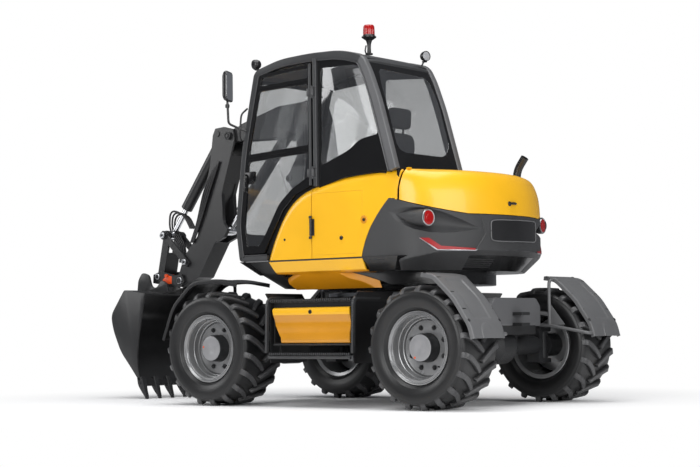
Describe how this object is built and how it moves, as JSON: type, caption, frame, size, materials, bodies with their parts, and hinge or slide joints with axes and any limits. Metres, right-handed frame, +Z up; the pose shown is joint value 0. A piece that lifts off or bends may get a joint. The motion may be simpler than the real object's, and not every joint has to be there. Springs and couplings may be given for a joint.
{
  "type": "wheeled excavator",
  "caption": "Compact wheeled excavator with an offset cab, a jointed digging arm with bucket, steered wheels under fenders and a round-tailed slewing house.",
  "frame": {"origin": "on the ground under the middle of the machine's outline, with the arm parked as in the picture", "axes": "+X forward along the chassis and the parked arm, +Y to the machine's left, +Z up"},
  "size_m": [4.735, 2.213, 3.1424],
  "materials": {
    "yellow_paint": "satin",
    "charcoal_paint": "satin",
    "light_grey_paint": "satin",
    "rim_grey": "satin",
    "cast_dark": "matte",
    "tyre_rubber": "matte",
    "bright_steel": "satin",
    "chrome_rod": "polished",
    "black_plastic": "matte",
    "clear_glass": "polished",
    "seat_fabric": "matte",
    "red_lens": "gloss"
  },
  "bodies": {
    "chassis": {"chassis_frame": "charcoal_paint", "axle_front": "cast_dark", "axle_rear": "cast_dark", "slew_ring": "bright_steel", "side_step_left": "charcoal_paint", "side_step_right": "charcoal_paint", "splash_guards": "black_plastic"},
    "lid_left": {"toolbox_lid_left": "yellow_paint"},
    "lid_right": {"toolbox_lid_right": "yellow_paint"},
    "turret": {"turret_frame": "charcoal_paint", "tail_weight": "charcoal_paint", "right_rear_cover": "yellow_paint", "engine_block": "cast_dark", "side_panel_left": "yellow_paint", "right_tank_cover": "yellow_paint", "cab_frame": "charcoal_paint", "cab_glass": "clear_glass", "cab_seat": "seat_fabric", "cab_controls": "black_plastic", "beacon": "red_lens", "work_lamps": "black_plastic", "mirror": "black_plastic", "exhaust_pipe": "charcoal_paint", "tail_lamps": "red_lens"},
    "hood": {"engine_hood": "yellow_paint"},
    "hatch": {"side_hatch": "yellow_paint"},
    "door": {"cab_door": "charcoal_paint", "door_glass": "clear_glass"},
    "boom": {"lower_boom": "charcoal_paint"},
    "jib": {"jib": "charcoal_paint"},
    "dipper": {"dipper": "charcoal_paint"},
    "rocker": {"rocker_links": "charcoal_paint"},
    "link": {"coupler_link": "charcoal_paint"},
    "bucket": {"quick_coupler": "charcoal_paint", "bucket": "charcoal_paint"},
    "lift_barrel": {"lift_barrel": "charcoal_paint"},
    "lift_rod": {"lift_rod": "chrome_rod"},
    "jib_ram_barrel": {"jib_ram_barrel": "charcoal_paint"},
    "jib_ram_rod": {"jib_ram_rod": "chrome_rod"},
    "crowd_barrel": {"crowd_barrel": "charcoal_paint"},
    "crowd_rod": {"crowd_rod": "chrome_rod"},
    "bucket_ram_barrel": {"bucket_ram_barrel": "charcoal_paint"},
    "bucket_ram_rod": {"bucket_ram_rod": "chrome_rod"},
    "knuckle_front_left": {"knuckle_front_left": "cast_dark", "fender_front_left": "charcoal_paint"},
    "wheel_front_left": {"rim_front_left": "rim_grey", "tyre_front_left": "tyre_rubber"},
    "knuckle_front_right": {"knuckle_front_right": "cast_dark", "fender_front_right": "charcoal_paint"},
    "wheel_front_right": {"rim_front_right": "rim_grey", "tyre_front_right": "tyre_rubber"},
    "knuckle_rear_left": {"knuckle_rear_left": "cast_dark", "fender_rear_left": "light_grey_paint"},
    "wheel_rear_left": {"rim_rear_left": "rim_grey", "tyre_rear_left": "tyre_rubber"},
    "knuckle_rear_right": {"knuckle_rear_right": "cast_dark", "fender_rear_right": "light_grey_paint"},
    "wheel_rear_right": {"rim_rear_right": "rim_grey", "tyre_rear_right": "tyre_rubber"}
  },
  "joints": [
    {"name": "slew", "type": "hinge", "parent": "chassis", "child": "turret", "pos_m": [-0.73, 0, 0.93], "axis": [0, 0, 1], "continuous": true},
    {"name": "cab_door", "type": "hinge", "parent": "turret", "child": "door", "pos_m": [-0.722, 0.965, 2.2], "axis": [0, 0, 1], "range_deg": [0, 110]},
    {"name": "side_hatch", "type": "hinge", "parent": "turret", "child": "hatch", "pos_m": [-0.687, 0.96, 1.45], "axis": [0, 0, -1], "range_deg": [0, 90]},
    {"name": "engine_hood", "type": "hinge", "parent": "turret", "child": "hood", "pos_m": [-1.58, 0, 1.85], "axis": [0, 1, 0], "range_deg": [0, 55]},
    {"name": "toolbox_lid_left", "type": "hinge", "parent": "chassis", "child": "lid_left", "pos_m": [-0.73, 1.012, 0.509], "axis": [-1, 0, 0], "range_deg": [0, 90]},
    {"name": "toolbox_lid_right", "type": "hinge", "parent": "chassis", "child": "lid_right", "pos_m": [-0.73, -1.012, 0.509], "axis": [1, 0, 0], "range_deg": [0, 90]},
    {"name": "steer_front_left", "type": "hinge", "parent": "chassis", "child": "knuckle_front_left", "pos_m": [0.365, 0.68, 0.48], "axis": [0, 0, 1], "range_deg": [-28, 28]},
    {"name": "roll_front_left", "type": "hinge", "parent": "knuckle_front_left", "child": "wheel_front_left", "pos_m": [0.365, 0.864, 0.48], "axis": [0, 1, 0], "continuous": true},
    {"name": "steer_front_right", "type": "hinge", "parent": "chassis", "child": "knuckle_front_right", "pos_m": [0.365, -0.68, 0.48], "axis": [0, 0, 1], "range_deg": [-28, 28]},
    {"name": "roll_front_right", "type": "hinge", "parent": "knuckle_front_right", "child": "wheel_front_right", "pos_m": [0.365, -0.864, 0.48], "axis": [0, 1, 0], "continuous": true},
    {"name": "steer_rear_left", "type": "hinge", "parent": "chassis", "child": "knuckle_rear_left", "pos_m": [-1.825, 0.68, 0.48], "axis": [0, 0, 1], "range_deg": [-28, 28]},
    {"name": "roll_rear_left", "type": "hinge", "parent": "knuckle_rear_left", "child": "wheel_rear_left", "pos_m": [-1.825, 0.864, 0.48], "axis": [0, 1, 0], "continuous": true},
    {"name": "steer_rear_right", "type": "hinge", "parent": "chassis", "child": "knuckle_rear_right", "pos_m": [-1.825, -0.68, 0.48], "axis": [0, 0, 1], "range_deg": [-28, 28]},
    {"name": "roll_rear_right", "type": "hinge", "parent": "knuckle_rear_right", "child": "wheel_rear_right", "pos_m": [-1.825, -0.864, 0.48], "axis": [0, 1, 0], "continuous": true},
    {"name": "boom_lift", "type": "hinge", "parent": "turret", "child": "boom", "pos_m": [0.01, -0.16, 1.17], "axis": [0, -1, 0], "range_deg": [-50, 12]},
    {"name": "lift_barrel_swing", "type": "hinge", "parent": "turret", "child": "lift_barrel", "pos_m": [0.345, -0.16, 1.15], "axis": [0, -1, 0], "range_deg": [-61, 16]},
    {"name": "lift_rod_slide", "type": "slide", "parent": "lift_barrel", "child": "lift_rod", "axis": [0.0359, 0, 0.9994], "range_m": [-0.33, 0.1]},
    {"name": "jib_lift", "type": "hinge", "parent": "boom", "child": "jib", "pos_m": [0.2, -0.16, 2.58], "axis": [0, -1, 0], "range_deg": [-25, 55]},
    {"name": "jib_ram_barrel_swing", "type": "hinge", "parent": "boom", "child": "jib_ram_barrel", "pos_m": [0.07, -0.16, 1.52], "axis": [0, -1, 0], "range_deg": [-3, 3]},
    {"name": "jib_ram_rod_slide", "type": "slide", "parent": "jib_ram_barrel", "child": "jib_ram_rod", "axis": [0.307, 0, 0.9517], "range_m": [-0.11, 0.22]},
    {"name": "dipper_crowd", "type": "hinge", "parent": "jib", "child": "dipper", "pos_m": [1.15, -0.16, 2.43], "axis": [0, 1, 0], "range_deg": [-60, 15]},
    {"name": "crowd_barrel_swing", "type": "hinge", "parent": "jib", "child": "crowd_barrel", "pos_m": [0.51, -0.16, 2.4], "axis": [0, 1, 0], "range_deg": [-39, 12]},
    {"name": "crowd_rod_slide", "type": "slide", "parent": "crowd_barrel", "child": "crowd_rod", "axis": [0.6537, 0, -0.7567], "range_m": [-0.13, 0.44]},
    {"name": "bucket_curl", "type": "hinge", "parent": "dipper", "child": "bucket", "pos_m": [1.77, -0.16, 1.105], "axis": [0, 1, 0], "range_deg": [-20, 100]},
    {"name": "rocker_swing", "type": "hinge", "parent": "dipper", "child": "rocker", "pos_m": [1.696, -0.16, 1.278], "axis": [0, 1, 0], "range_deg": [-18, 78]},
    {"name": "link_swing", "type": "hinge", "parent": "bucket", "child": "link", "pos_m": [2.06, -0.16, 1.15], "axis": [0, 1, 0], "range_deg": [-49, 12]},
    {"name": "bucket_ram_barrel_swing", "type": "hinge", "parent": "dipper", "child": "bucket_ram_barrel", "pos_m": [1.29, -0.16, 2.46], "axis": [0, 1, 0], "range_deg": [-3, 8]},
    {"name": "bucket_ram_rod_slide", "type": "slide", "parent": "bucket_ram_barrel", "child": "bucket_ram_rod", "axis": [0.5992, 0, -0.8006], "range_m": [-0.12, 0.47]}
  ],
  "couplings": [
    {"joint": "lift_barrel_swing", "follows": "boom_lift", "ratio": 1.1566},
    {"joint": "lift_rod_slide", "follows": "boom_lift", "m_per_rad": 0.3067},
    {"joint": "jib_ram_barrel_swing", "follows": "jib_lift", "ratio": -0.0069},
    {"joint": "jib_ram_rod_slide", "follows": "jib_lift", "m_per_rad": 0.206},
    {"joint": "crowd_barrel_swing", "follows": "dipper_crowd", "ratio": 0.6128},
    {"joint": "crowd_rod_slide", "follows": "dipper_crowd", "m_per_rad": -0.3902},
    {"joint": "rocker_swing", "follows": "bucket_curl", "ratio": 0.745},
    {"joint": "link_swing", "follows": "bucket_curl", "ratio": -0.465},
    {"joint": "bucket_ram_barrel_swing", "follows": "bucket_curl", "ratio": 0.06},
    {"joint": "bucket_ram_rod_slide", "follows": "bucket_curl", "m_per_rad": 0.253},
    {"joint": "steer_front_right", "follows": "steer_front_left", "ratio": 1},
    {"joint": "steer_rear_right", "follows": "steer_rear_left", "ratio": 1}
  ]
}
